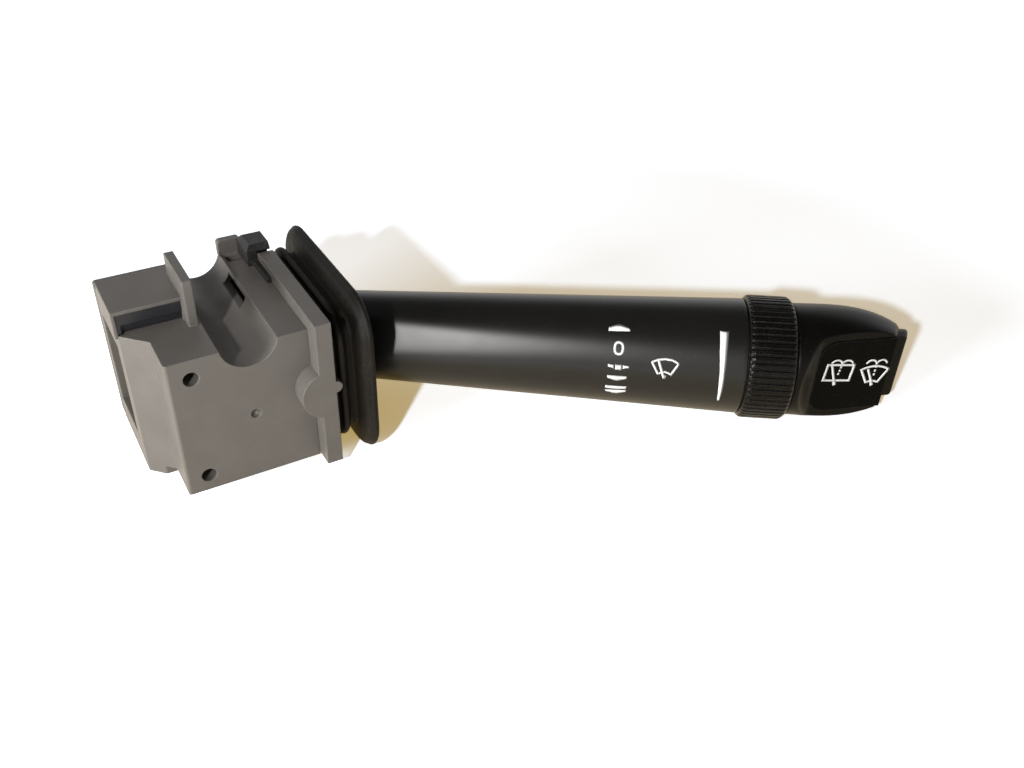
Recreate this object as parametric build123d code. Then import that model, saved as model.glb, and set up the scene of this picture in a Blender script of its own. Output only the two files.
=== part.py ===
from build123d import *
import copy
import math
import os

# Steering-column wiper stalk: a moulded switch housing, the mechanism in it, and its lever.
# Millimetres. Two drawing frames are used, and all is set down on a table at the end:
#   housing axes: x forwards to the lever, y up the column face, z towards the driver,
#                 zero at the lower rear corner of the driver face
#   lever axes:   x up, y towards the driver, z out along the lever, zero at its pivot

# Housing shell
face_length = 29.6            # driver face, rear edge to front frame
face_height = 33.4
housing_depth = 38.5          # driver face to back cover
wall = 1.8
skirt_drop = 2.2              # the rear body hangs this far below the driver face
skirt_start = 12.0
cheek_depth = 10.0            # straight part of the rear wall, before the slanted facet
facet = 5.1                   # slanted facet, same run both ways
top_block_height = 5.6
top_block_front = 15.0        # depth of the block's driver-side wall
top_block_back = 29.0
tab_x = 8.6                   # upright locating tab on the upper side
tab_thickness = 1.9
tab_rise = 10.7
tab_front = 12.0
tab_back = 26.2
block_roof = 0.8              # roof over the block's open driver side
block_side = 0.7

# Half-round saddle across the upper side
saddle_x = 17.1
saddle_radius = 6.1
saddle_lift = 1.0             # its centre lies above the driver face's upper edge
saddle_wall = 1.3
saddle_slot_y = (29.9, 32.3)  # long window in the saddle's front wall
saddle_slot_z = (-32.0, -20.0)
latch_pocket_x = (23.9, 28.7)
latch_pocket_z = (-38.1, -35.0)
latch_pocket_depth = 1.2

# Two fixing bores in the driver face
bore_x = 4.8
bore_low = 3.85
bore_pitch = 25.05
bore_radius = 1.65
bore_depth = 13.0
bore_boss = 3.2
dimple_x = 16.6
dimple_y = 16.2
dimple_radius = 1.1

# Front frame
frame_thickness = 3.5
frame_low = 0.6
frame_top = 36.7
frame_proud = 4.8             # stands above the driver face
frame_back = 33.0
frame_corner = 4.0
frame_window_half = 9.2
pivot_boss_radius = 5.8
nub_radius = 1.4
nub_rise = 1.4                # the nub's centre above the pivot line
nub_length = 2.8

# Cover latch
latch_rise = 1.6              # above the frame
latch_start = 27.2
latch_end = 32.6
latch_near = -30.6            # its face towards the driver
latch_tail = -21.5
latch_bevel = 1.0

# Lever pivots
pivot_setback = 1.8           # up-and-down axis behind the frame's front face
pivot_y = 19.1
pull_depth = 24.3             # pull axis below the driver face
lever_lean = 33.7             # lever leans from straight ahead towards the driver, degrees
pin_radius = 1.5
pull_pin_radius = 1.6
running_gap = 0.04
side_gap = 0.2

# Lever travel, degrees
swing_down = 15.0
swing_up = 5.0
detent_step = 5.0
pull_travel = 7.0

# Lever core
core_half_width = 4.6
core_hub_radius = 3.5
finger_half = 2.3
finger_length = 17.8
arm_half = 4.0
arm_depth = 7.0
channel_width = 6.4           # channel in the arm's driver side for the conductors
channel_depth = 1.0
strip_width = 1.1
strip_thickness = 0.6
strip_pitch = 1.9
arm_length = 118.0
spacer_width = 2.4

# Detent
plunger_radius = 1.6
plunger_length = 8.4
plunger_reach = 21.7          # plunger tip from the up-and-down axis
ramp_gap = 0.15
notch_depth = 0.9
blade_thickness = 0.4
blade_gap = 0.43              # finger to wash contact at full pull
spring_wire = 0.4
spring_radius = 1.15
spring_turns = 4

# Carrier yoke
cheek_thickness = 2.4
bridge_thickness = 2.6
yoke_rear = 5.4
yoke_front = 1.7              # stays behind the frame's front face
pull_boss_front = 3.4
swing_gap = 0.25              # between the yoke and what it swings past
pin_seat = 2.6                # pin length held in the frame

# Slider and board
arm_reach = 13.9              # driving peg from the up-and-down axis
peg_radius = 1.2
peg_play = 0.12
board_thickness = 1.4
slider_width = 8.0
slider_length = 7.0
slider_thickness = 1.6
slider_drop = 2.1             # slider centre below the peg at rest
guide_wall = 1.2
slider_spare = 0.5              # run left beyond each end of the swing
track_thickness = 0.2
track_clear = 0.15              # the tracks end inside the guide's window
wiper_thickness = 0.35

# Connector
socket_width = 23.0
socket_low = 5.0
socket_front = 20.0
socket_back = 35.0
socket_wall = 1.4
insert_thickness = 2.5
insert_proud = 0.4
insert_depth = 11.1           # from the housing's rear face
pin_side = 0.8
pins_per_row = 6
pin_pitch = 3.2
pin_row_gap = 6.0
pin_out = 3.8
pin_in = 0.7
pin_fit = 0.03

# Column seal
seal_sleeve = 1.6
seal_inner_thickness = 1.8
seal_groove = 2.2
seal_outer_thickness = 3.0
seal_inner_height = 34.0
seal_inner_width = 41.0
seal_height = 40.0
seal_width = 48.6
seal_corner = 9.0
seal_groove_depth = 1.4
seal_flank = 1.8              # sloping back of the outer lip
seal_bevel = 0.9
seal_opening_y = (5.2, 30.9)
seal_opening_z = (-33.4, -1.6)
seal_opening_corner = 4.5
seal_centre_z = -17.4
seal_centre_y = 18.9

# Stalk tube
tube_start = 12.6
tube_end = 105.3
tube_root_diameter = 19.7
tube_end_diameter = 26.2
tube_wall = 2.0
flat_turn = 37.0              # thumb flat, turned from the driver towards up, degrees
flat_distance = 8.52          # the flat from the axis at the tube's start
flat_rise = 3.24              # the flat runs out to the round as it rises, degrees
bulkhead = 2.0
tube_root_face = 4.7          # the root is cut square to the housing, this far past the frame

# Thumb ring
ring_diameter = 28.0
ring_width = 10.4
ring_gap = 0.2
ring_bevel = 1.3
rib_count = 58
rib_depth = 0.55
rib_groove = 0.75
sleeve_radius = 10.5
sleeve_bore = 7.6
sleeve_plug = 2.2
disc_radius = 12.3
disc_thickness = 0.8
cavity_depth = 2.8

# Head
head_root_diameter = 25.4
head_length = 23.5            # on the axis, from the ring to the end face
head_tip_height = 18.6
head_tip_depth = 15.6
head_squareness = 2.7
head_wall = 1.6
head_end_round = 1.1
end_slant = 18.0              # end face turned to the driver, degrees
panel_slope = 14.0            # icon panel closes in on the axis towards the end, degrees
panel_distance = 7.6          # its face from the axis at its root edge
panel_start = 5.3
panel_thickness = 1.1
panel_half = 9.4
panel_corner = 4.0
panel_gap = 0.1

# End button
button_inset = 1.25           # its outline inside the head's outline
button_proud = 2.1
button_gap = 0.15
button_skirt = 3.4
button_stem_height = 7.0
button_stem_depth = 4.4
button_travel = 1.4
dome_height = 1.0
board_room = 1.6

# Places that follow from the sizes above
frame_x = face_length
frame_front = frame_x + frame_thickness
pivot_x = frame_front - pivot_setback
yoke_top = -wall - swing_gap
yoke_bottom = -frame_back + wall + swing_gap
ramp_half = finger_half + finger_length * math.sin(math.radians(pull_travel)) + blade_gap
ramp_back = insert_depth - facet + insert_proud + pin_in + 0.2
ring_start = tube_end + ring_gap
head_start = ring_start + ring_width + ring_gap + 0.1
head_end = head_start + head_length


def block(x, y, z):
    """A box from three (low, high) spans."""
    size = [high - low for low, high in (x, y, z)]
    middle = [(low + high) / 2 for low, high in (x, y, z)]
    return Pos(*middle) * Box(*size)


def post(x, y, z, radius):
    """A round post along z through (x, y), from a (low, high) span."""
    return Pos(x, y, (z[0] + z[1]) / 2) * Cylinder(radius, z[1] - z[0])


def plan_prism(points, low, high):
    """An outline in the x-z plane carried up from y = low to y = high."""
    outline = make_face(Polyline(*points, close=True))
    return extrude(Plane.XZ.offset(-low) * outline, amount=low - high)


def rounded_slab(height, width, corner, x, centre_y, centre_z):
    """A rounded plate that faces forwards, from a (near, far) span in x."""
    face = RectangleRounded(height, width, corner)
    base = Plane(origin=(x[0], centre_y, centre_z), x_dir=(0, 1, 0), z_dir=(1, 0, 0))
    return extrude(base * face, amount=x[1] - x[0])


def lever_axes():
    """Where the lever axes stand in the housing axes."""
    lean = math.radians(lever_lean)
    pivot = (pivot_x, pivot_y, -pull_depth)
    return Plane(origin=pivot, x_dir=(0, 1, 0), z_dir=(math.cos(lean), 0, math.sin(lean))).location


def on_lever(solid):
    return lever_axes() * solid


# ---------------------------------------------------------------- housing body


def plan_points(inset=0.0):
    """Outline of the housing seen along its height, moved in by inset."""
    slope = inset * math.tan(math.radians(22.5))
    return [
        (inset, -inset),
        (face_length + 1.0 if inset else face_length, -inset),
        (face_length + 1.0 if inset else face_length, -housing_depth - (1.0 if inset else 0.0)),
        (inset - facet, -housing_depth - (1.0 if inset else 0.0)),
        (inset - facet, -cheek_depth - facet - slope),
        (inset, -cheek_depth - slope),
    ]


def saddle(radius, reach=1.0):
    """The half-round channel across the upper side."""
    return post(saddle_x, face_height + saddle_lift, (-housing_depth - reach, reach), radius)


def socket_span(clear=0.0):
    y = (socket_low - clear, socket_low + socket_width + clear)
    z = (-socket_back - clear, -socket_front + clear)
    return y, z


def switch_housing():
    shell = plan_prism(plan_points(), 0, face_height)
    skirt = block((-facet, face_length), (-skirt_drop, 0), (-housing_depth, -skirt_start))
    skirt -= plan_prism([(-facet - 1, 0), (0.0, 0.0), (0.0, -cheek_depth), (-facet, -cheek_depth - facet),
                         (-facet - 1, -cheek_depth - facet)], -skirt_drop - 1, 1)
    shell += skirt
    shell = fillet(shell.edges().filter_by(Axis.Y).filter_by(lambda e: e.center().X < 1), 0.7)
    cavity = plan_prism(plan_points(wall), wall, face_height - wall)
    cavity -= saddle(saddle_radius + saddle_wall, 2.0)
    shell -= cavity
    block_x = (-facet - 0.6, tab_x + tab_thickness / 2)
    block_z = (-top_block_back, -top_block_front)
    roof = face_height + top_block_height
    top = block(block_x, (face_height - 0.5, roof), block_z)
    top -= block((block_x[0] + block_side, tab_x - 0.3), (0, roof - block_roof), (block_z[0] + wall, block_z[1] + 1))
    tab = block((tab_x, tab_x + tab_thickness), (face_height - 0.5, face_height + tab_rise),
                (-tab_back, -tab_front))
    tab = fillet(tab.edges().filter_by(Axis.X).filter_by(lambda e: e.center().Y > face_height), 0.8)
    shell += top + tab
    shell -= block((block_x[0] + wall, tab_x - 0.3), (face_height - wall - 0.5, face_height + 0.1),
                   (block_z[0] + wall, block_z[1] - wall))
    shell -= saddle(saddle_radius)
    shell -= block((saddle_x + 3.8, saddle_x + 7.0), saddle_slot_y, saddle_slot_z)
    shell -= block(latch_pocket_x, (face_height - latch_pocket_depth, face_height + 1), latch_pocket_z)
    for y in (bore_low, bore_low + bore_pitch):
        shell += post(bore_x, y, (-bore_depth - wall, -wall / 2), bore_boss) & block(
            (0.2, 20), (0.2, face_height - 0.2), (-housing_depth, 0))
        shell -= post(bore_x, y, (-bore_depth, 1), bore_radius)
    shell -= Pos(dimple_x, dimple_y, 0) * Sphere(dimple_radius)
    socket_y, socket_z = socket_span()
    outer_y, outer_z = socket_span(socket_wall)
    tunnel_end = insert_depth - facet
    shell += block((-facet + 0.2, tunnel_end), outer_y, outer_z)
    shell -= block((-facet - 1, tunnel_end + 1), socket_y, socket_z)
    front = block((face_length - 2, face_length + 1), (frame_low + 5, face_height - 2.4),
                  (-frame_back + 1.2, -wall))
    return shell - front


def back_cover():
    """Plate that closes the back, with a lip inside the shell and an upright lug above it."""
    plate = block((-facet, face_length), (-skirt_drop, face_height), (-housing_depth - 2.0, -housing_depth))
    plate -= saddle(saddle_radius, 3.0)
    plate = fillet(plate.edges().filter_by(Axis.Z).filter_by(lambda e: e.center().X < 0), 0.7)
    lip = block((-facet + wall + 0.1, face_length - 0.4), (wall + 0.1, face_height - 9.4),
                (-housing_depth, -housing_depth + 1.6))
    lip -= block((-facet + wall + 1.3, face_length - 1.6), (wall + 1.3, face_height - 10.6),
                 (-housing_depth - 0.1, -housing_depth + 2))
    lip -= block((face_length - 3, face_length), (0, face_height), (-housing_depth, 0))
    lug = block((22.9, 28.3), (face_height - 0.2, face_height + 3.6), (-housing_depth - 2.0, -housing_depth - 0.2))
    lug = fillet(lug.edges().filter_by(Axis.Z).filter_by(lambda e: e.center().Y > face_height), 0.8)
    return plate + lip + lug


def cover_latch():
    """Black spring hook over the frame's far corner, with a thin tail along the frame."""
    low = face_height + 0.1
    top = frame_top + latch_rise
    back = -housing_depth + 0.4
    hook = block((latch_start, frame_x - 0.1), (low, top), (back, latch_near))
    hook += block((latch_start, latch_end), (frame_top - 3.0, top), (back, -frame_back - 0.1))
    hook += block((latch_start, latch_end), (frame_top + 0.1, top), (-frame_back - 0.2, latch_near))
    hook = chamfer(hook.edges().filter_by(Axis.X).filter_by(lambda e: e.center().Y > top - 0.1), latch_bevel)
    hook = chamfer(hook.edges().filter_by(Axis.Z).filter_by(
        lambda e: e.center().Y > top - 0.1 and e.center().X < latch_start + 0.1), latch_bevel)
    return hook + block((frame_x - 1.1, frame_x - 0.1), (low, low + 1.2), (latch_near - 0.1, latch_tail))


def upper_carrier():
    """Black contact carrier that fills the upper block's open side."""
    low = face_height - wall - 0.5
    high = face_height + top_block_height - block_roof - 0.05
    x = (-facet - 0.6 + block_side + 0.05, tab_x - 0.35)
    inside = (x[0] + wall - block_side + 0.1, x[1])
    front = -top_block_front - 0.25
    body = block(inside, (low, high), (-top_block_back + wall + 0.1, -top_block_front - wall - 0.1))
    body += block(x, (face_height + 0.05, high), (-top_block_back + wall + 0.1, front))
    body -= block((x[0] + 0.8, x[1] + 1), (face_height, face_height + 2.2), (front - 1.0, front + 1))
    return body


def connector_insert():
    """Black insulator that closes the socket's inner end."""
    y, z = socket_span(-0.05)
    inner = insert_depth - facet
    body = block((inner - insert_thickness + insert_proud, inner + insert_proud), y, z)
    half = pin_side / 2 + pin_fit
    for y_pin, z_pin in pin_places():
        body -= block((inner - 9, inner + 9), (y_pin - half, y_pin + half), (z_pin - half, z_pin + half))
    return body


def pin_places():
    middle_y = socket_low + socket_width / 2
    middle_z = -(socket_front + socket_back) / 2
    row = [(i - (pins_per_row - 1) / 2) * pin_pitch for i in range(pins_per_row)]
    return [(middle_y + y, middle_z + z) for z in (-pin_row_gap / 2, pin_row_gap / 2) for y in row]


def terminal_pins():
    inner = insert_depth - facet + insert_proud
    pins = []
    for y, z in pin_places():
        pin = block((inner - insert_thickness - pin_out, inner + pin_in),
                    (y - pin_side / 2, y + pin_side / 2), (z - pin_side / 2, z + pin_side / 2))
        pins.append(chamfer(pin.faces().sort_by(Axis.X)[0].edges(), 0.2))
    return Compound(children=pins)


# ---------------------------------------------------------------- front frame and pivots


def front_frame():
    x = (frame_x, frame_x + frame_thickness)
    plate = block(x, (frame_low, frame_top), (-frame_back, frame_proud))
    far = plate.edges().filter_by(Axis.X).filter_by(lambda e: e.center().Z < -frame_back + 1)
    plate = fillet(far, frame_corner)
    boss = post(pivot_x, pivot_y, (0, frame_proud), pivot_boss_radius)
    boss &= block((0, frame_x + frame_thickness), (0, face_height), (-1, frame_proud + 1))
    nub = post(frame_front, pivot_y + nub_rise, (frame_proud - nub_length, frame_proud), nub_radius)
    tongue = block((frame_x - 1.7, frame_x), (frame_low + 5.2, face_height - 2.6),
                   (-frame_back + 1.4, -wall - 0.15))
    window = block((frame_x - 3, frame_x + frame_thickness + 3),
                   (pivot_y - frame_window_half, pivot_y + frame_window_half),
                   (-frame_back + wall, -wall))
    body = plate + boss + nub + tongue - window
    body -= post(pivot_x, pivot_y, (-frame_back + 0.4, pin_seat), pin_radius)
    return body


def carrier_pins():
    upper = post(pivot_x, pivot_y, (yoke_top - bridge_thickness, pin_seat), pin_radius)
    lower = post(pivot_x, pivot_y, (-frame_back + 0.4, yoke_bottom + bridge_thickness), pin_radius)
    return Compound(children=[chamfer(upper.edges().sort_by(Axis.Z)[0], 0.3),
                              chamfer(lower.edges().sort_by(Axis.Z)[-1], 0.3)])


def lever_carrier():
    """Yoke that swings up and down on the frame's pins and carries the lever between two cheeks."""
    inner = core_half_width + side_gap
    outer = inner + cheek_thickness
    rear = pivot_x - yoke_rear
    boss_top = -pull_depth + pull_boss_front
    boss_low = -pull_depth - pull_boss_front
    profile = [(rear, yoke_bottom), (pivot_x + yoke_front, yoke_bottom), (pivot_x + pull_boss_front, boss_low),
               (pivot_x + pull_boss_front, boss_top),
               (pivot_x + yoke_front, boss_top + pull_boss_front), (pivot_x + yoke_front, yoke_top), (rear, yoke_top)]
    yoke = plan_prism(profile, pivot_y - outer, pivot_y + outer)
    yoke -= block((rear - 1, pivot_x + 10), (pivot_y - inner, pivot_y + inner),
                  (yoke_bottom + bridge_thickness, yoke_top - bridge_thickness))
    arm_z = (yoke_top - bridge_thickness - 4.2, yoke_top - bridge_thickness - 1.8)
    arm_y = (pivot_y - 2.6, pivot_y + 2.6)
    yoke += block((pivot_x - arm_reach - 2.4, rear), arm_y, arm_z)
    yoke += block((rear - 2.2, rear + 0.2), arm_y, (arm_z[0], yoke_top))
    yoke += block((rear, rear + 2), (pivot_y - inner - 0.5, pivot_y + inner + 0.5), (arm_z[0], yoke_top))
    yoke += post(pivot_x - arm_reach, pivot_y, (arm_z[1] - 0.1, slider_top() - 0.4), peg_radius)
    yoke -= post(pivot_x, pivot_y, (yoke_bottom - 1, yoke_top + 1), pin_radius + running_gap)
    pull_hole = Plane(origin=(pivot_x, pivot_y - outer - 1, -pull_depth), z_dir=(0, 1, 0))
    yoke -= extrude(pull_hole * Circle(pull_pin_radius), amount=2 * outer + 2)
    return yoke


def lever_pin():
    outer = core_half_width + side_gap + cheek_thickness
    base = Plane(origin=(pivot_x, pivot_y - outer, -pull_depth), z_dir=(0, 1, 0))
    return extrude(base * Circle(pull_pin_radius), amount=2 * outer)


# ---------------------------------------------------------------- contacts


def board_span():
    return (8.6, pivot_x - yoke_rear - 3.4), (7.4, face_height + saddle_lift - saddle_radius - saddle_wall - 0.6)


def contact_board():
    x, y = board_span()
    board = block(x, y, (-wall - board_thickness, -wall))
    return chamfer(board.edges().filter_by(Axis.Z), 0.8)


def guide_window():
    """Length of the slider's run: the slider at both ends of the swing, and a little more."""
    y_mid = pivot_y - slider_drop
    travel_up = arm_reach * math.radians(swing_down) + slider_spare
    travel_down = arm_reach * math.radians(swing_up) + slider_spare
    return y_mid - slider_length / 2 - travel_down, y_mid + slider_length / 2 + travel_up


def contact_tracks():
    y = guide_window()
    top = -wall - board_thickness
    strips = []
    for i in range(3):
        x_mid = pivot_x - arm_reach - 2.4 + 2.4 * i
        strips.append(block((x_mid - 0.6, x_mid + 0.6), (y[0] + track_clear, y[1] - track_clear),
                            (top - track_thickness, top)))
    return Compound(children=strips)


def slider_top():
    return -wall - board_thickness - track_thickness - wiper_thickness - 0.1


def contact_slider():
    x_mid = pivot_x - arm_reach
    top = slider_top()
    y_mid = pivot_y - slider_drop
    body = block((x_mid - slider_width / 2, x_mid + slider_width / 2),
                 (y_mid - slider_length / 2, y_mid + slider_length / 2), (top - slider_thickness, top))
    slot = block((x_mid - 1.6, x_mid + 2.2), (pivot_y - peg_radius - peg_play, pivot_y + peg_radius + peg_play),
                 (top - slider_thickness - 1, top - 0.3))
    return body - slot


def slider_wipers():
    top = slider_top()
    blades = []
    for i in range(3):
        x_mid = pivot_x - arm_reach - 2.4 + 2.4 * i
        y_low = pivot_y - slider_drop - slider_length / 2
        blades.append(block((x_mid - 0.45, x_mid + 0.45), (y_low + 0.4, y_low + 5.6), (top, top + wiper_thickness)))
    return Compound(children=blades)


def slider_guide():
    """Frame under the board in which the slider runs."""
    x_mid = pivot_x - arm_reach
    half = slider_width / 2 + 0.08
    top = -wall - board_thickness
    y = guide_window()
    frame = block((x_mid - half - guide_wall, x_mid + half + guide_wall), (y[0] - guide_wall, y[1] + guide_wall),
                  (slider_top() - slider_thickness, top))
    return frame - block((x_mid - half, x_mid + half), y, (-20, 0))


def detent_ramp():
    """Acetal block with a hollow face about the swing axis and a notch at each lever position."""
    reach = plunger_reach + ramp_gap
    z = (-pull_depth - ramp_half, -pull_depth + ramp_half)
    y = (pivot_y - 6.5, pivot_y + 8.9)
    body = block((ramp_back, 13.0), y, z)
    body += block((insert_depth - facet + 0.05, ramp_back + 0.8), y, (-socket_front, -socket_front + socket_wall))
    body -= post(pivot_x, pivot_y, (z[0] - 1, z[1] + 1), reach)
    steps = [swing_up - detent_step * i for i in range(int(round((swing_up + swing_down) / detent_step)) + 1)]
    for angle in steps:
        turn = math.radians(180 + angle)
        tip = reach + notch_depth - plunger_radius
        body -= post(pivot_x + tip * math.cos(turn), pivot_y + tip * math.sin(turn), (z[0] - 1, z[1] + 1),
                     plunger_radius + 0.12)
    return body


def detent_plunger():
    """Round plunger with a ball nose, sliding in the lever's inner finger."""
    start = pivot_x - plunger_reach
    nose = Pos(start + plunger_radius, pivot_y, -pull_depth) * Sphere(plunger_radius)
    base = Plane(origin=(start + plunger_radius, pivot_y, -pull_depth), z_dir=(1, 0, 0))
    stem = extrude(base * Circle(plunger_radius), amount=plunger_length - plunger_radius)
    return nose + stem


def plunger_spring():
    """Coil spring behind the plunger."""
    start = pivot_x - plunger_reach + plunger_length + spring_wire / 2 + 0.05
    length = finger_bore_end() - spring_wire / 2 - 0.05 - start
    helix = Helix(length / spring_turns, length, spring_radius)
    wire = sweep(Plane(helix @ 0, z_dir=helix % 0) * Circle(spring_wire / 2), path=helix)
    return Plane(origin=(start, pivot_y, -pull_depth), z_dir=(1, 0, 0)).location * wire


def finger_bore_end():
    return pivot_x - finger_length + 12.4


def wash_contacts():
    """Brass blades either side of the finger, touched when the lever is pulled or pushed."""
    blades = []
    for side in (-1, 1):
        z = sorted((-pull_depth + side * ramp_half, -pull_depth + side * (ramp_half + blade_thickness)))
        blades.append(block((ramp_back + 0.9, 19.5), (pivot_y - 1.6, pivot_y + 1.6), z))
    return Compound(children=blades)


# ---------------------------------------------------------------- lever core


def lever_core():
    """Glass-filled core: hub on the pull pin, finger into the housing, arm out along the lever."""
    hub_base = Plane(origin=(pivot_x, pivot_y - core_half_width, -pull_depth), z_dir=(0, 1, 0))
    hub = extrude(hub_base * Circle(core_hub_radius), amount=2 * core_half_width)
    finger = block((pivot_x - finger_length, pivot_x), (pivot_y - finger_half, pivot_y + finger_half),
                   (-pull_depth - finger_half, -pull_depth + finger_half))
    arm = Pos(0, 0, arm_length / 2) * Box(2 * arm_half, arm_depth, arm_length)
    body = hub + finger + on_lever(arm)
    for place in (tube_start + 9.0, tube_end - 30.0):
        spacer = Cylinder(tube_radius(place) - tube_wall - 0.1, spacer_width)
        body += on_lever(Pos(0, 0, place + spacer_width / 2) * spacer)
    bore = Plane(origin=(pivot_x - finger_length - 1, pivot_y, -pull_depth), z_dir=(1, 0, 0))
    body -= extrude(bore * Circle(plunger_radius + 0.05), amount=finger_bore_end() - pivot_x + finger_length + 1)
    body -= extrude(Plane(origin=(pivot_x, 0, -pull_depth), z_dir=(0, 1, 0)) *
                    Circle(pull_pin_radius + running_gap), amount=60)
    channel = Pos(0, arm_depth / 2, 20 + arm_length / 2) * Box(channel_width, 2 * channel_depth, arm_length)
    return body - on_lever(channel)


def lever_conductors():
    """Brass strips in the arm's channel that carry the head's circuits."""
    strips = []
    low = 22.0
    high = head_board_place() - 0.3
    for i in range(3):
        level = arm_depth / 2 - channel_depth + strip_thickness / 2
        strip = Pos((i - 1) * strip_pitch, level, (low + high) / 2) * Box(strip_width, strip_thickness, high - low)
        strips.append(on_lever(strip))
    return Compound(children=strips)


# ---------------------------------------------------------------- stalk tube


def oval(height, depth, squareness, shift=0.0):
    """A closed curve |x/a|^n + |y/b|^n = 1: round at n = 2, squarer as n grows."""
    points = []
    for i in range(24):
        turn = 2 * math.pi * i / 24
        c = math.cos(turn)
        s = math.sin(turn)
        x = height / 2 * math.copysign(abs(c) ** (2 / squareness), c)
        y = depth / 2 * math.copysign(abs(s) ** (2 / squareness), s)
        points.append((x + shift, y))
    return make_face(Spline(*points, periodic=True))


def tube_radius(place):
    """Outer radius of the tapered tube at a distance along the lever."""
    t = (place - tube_start) / (tube_end - tube_start)
    return (tube_root_diameter + (tube_end_diameter - tube_root_diameter) * t) / 2


def tube_body(inset, start, end):
    cone = Cone(tube_radius(start) - inset, tube_radius(end) - inset, end - start)
    return Pos(0, 0, (start + end) / 2) * cone


def thumb_flat():
    """Everything outside the long flat on the tube's upper driver side."""
    slab = Pos(0, 10, 0) * Box(60, 20, 300)
    return Rot(0, 0, -flat_turn) * Pos(0, flat_distance, tube_start) * Rot(-flat_rise, 0, 0) * slab


def stalk_tube():
    body = tube_body(0.0, 0.0, tube_end) - thumb_flat()
    body -= tube_body(tube_wall, -1.0, tube_end - bulkhead)
    body -= Pos(0, 0, tube_end) * Cylinder(sleeve_radius + 0.03, 3 * bulkhead)
    return on_lever(body) - block((-50, frame_front + tube_root_face), (-50, 90), (-90, 50))


# ---------------------------------------------------------------- thumb ring


def ring_sleeve():
    """Bush between tube and head that the thumb ring turns on."""
    low = tube_end - sleeve_plug
    high = head_start + sleeve_plug
    bush = Pos(0, 0, (low + high) / 2) * Cylinder(sleeve_radius, high - low)
    bush -= Pos(0, 0, (low + high) / 2) * Cylinder(sleeve_bore, high - low + 2)
    return on_lever(bush)


def thumb_ring():
    outer = ring_diameter / 2
    inner = sleeve_radius + running_gap
    end = ring_start + ring_width
    profile = Polyline((inner, ring_start + cavity_depth), (disc_radius + 0.3, ring_start + cavity_depth),
                       (disc_radius + 0.3, ring_start), (outer - ring_bevel * 0.7, ring_start),
                       (outer, ring_start + ring_bevel), (outer, end - ring_bevel),
                       (outer - ring_bevel * 0.7, end), (inner, end), close=True)
    body = revolve(Plane.XZ * make_face(profile), Axis.Z)
    groove = Pos(outer, 0, (ring_start + end) / 2) * Box(2 * rib_depth, rib_groove, ring_width - 1.0)
    body -= [Rot(0, 0, 360 * i / rib_count) * groove for i in range(rib_count)]
    return on_lever(body)


def ring_contact_disc():
    disc = Pos(0, 0, ring_start + disc_thickness / 2) * Cylinder(disc_radius, disc_thickness)
    disc -= Pos(0, 0, ring_start) * Cylinder(sleeve_radius + 0.03, 4)
    return on_lever(disc)


def ring_wiper():
    """Brass wiper under the ring's inner step."""
    low = ring_start + disc_thickness + 0.2
    high = ring_start + cavity_depth
    band = Pos(0, 0, (low + high) / 2) * Cylinder(disc_radius - 0.2, high - low)
    band -= Pos(0, 0, (low + high) / 2) * Cylinder(sleeve_radius + 0.4, high)
    band &= Pos(disc_radius, 0, 0) * Box(2 * disc_radius - 12, 9, 400)
    return on_lever(band)


def ring_washer():
    z = ring_start + ring_width + 0.05
    washer = Pos(0, 0, z + 0.1) * Cylinder(12.2, 0.2)
    return on_lever(washer - Pos(0, 0, z) * Cylinder(sleeve_radius + 0.05, 4))


# ---------------------------------------------------------------- head


def head_section(place, inset=0.0):
    """Section of the head: round at the ring, smaller and squarer at the end."""
    t = (place - head_start) / head_length
    fall = abs(t) ** 3.5
    height = head_root_diameter - (head_root_diameter - head_tip_height) * fall
    depth = head_root_diameter - (head_root_diameter - head_tip_depth) * fall
    squareness = 2 + (head_squareness - 2) * abs(t) ** 1.5
    return oval(height - 2 * inset, depth - 2 * inset, squareness)


def head_loft(inset, start, end):
    places = [start + (end - start) * i / 6 for i in range(7)]
    return loft([Plane.XY.offset(p) * head_section(p, inset) for p in places])


def beyond_end(proud=0.0):
    """Everything beyond the slanted end face."""
    return Pos(0, 0, head_end + proud) * Rot(-end_slant, 0, 0) * Pos(0, 0, 20) * Box(80, 80, 40)


def panel_plane():
    """The icon panel's face: x up, y back to the ring, z out to the driver."""
    slope = math.radians(panel_slope)
    return Plane(origin=(0, panel_distance, head_start + panel_start), x_dir=(1, 0, 0),
                 z_dir=(0, math.cos(slope), math.sin(slope)))


def panel_slab(inset, low, high):
    """The panel's outline, run on past the end face, between two levels."""
    outline = Pos(0, -20 - inset) * RectangleRounded(2 * panel_half - 2 * inset, 40, panel_corner)
    return extrude(panel_plane().offset(low) * outline, amount=high - low)


def button_core(inset, low, high):
    """The button's column: the head's end section moved in, flat on the driver's side."""
    section = head_section(head_end, button_inset + inset)
    column = extrude(Plane.XY.offset(low) * section, amount=high - low)
    return column - panel_slab(-5, -panel_thickness - 0.9 - inset, 30)


def head_board_place():
    return head_end - button_skirt - button_travel - dome_height - board_room - 2.2


def head_shell():
    outside = head_loft(0.0, head_start, head_end + 4)
    outside -= beyond_end()
    outside = chamfer(outside.faces().sort_by(Axis.Z)[-1].edges(), head_end_round)
    body = outside - head_loft(head_wall, head_start - 1, head_end - button_skirt - button_travel)
    body += (Pos(0, 0, head_start + 0.9) * Cylinder(head_root_diameter / 2 - 1, 1.8))
    body += outside & panel_slab(-0.8, -panel_thickness - 0.9, 0)
    body -= Pos(0, 0, head_start) * Cylinder(sleeve_radius + 0.03, 4.6)
    body -= panel_slab(0, -panel_thickness, 30)
    body -= button_core(-button_gap, head_end - 12, head_end + 20)
    return on_lever(body)


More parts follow.
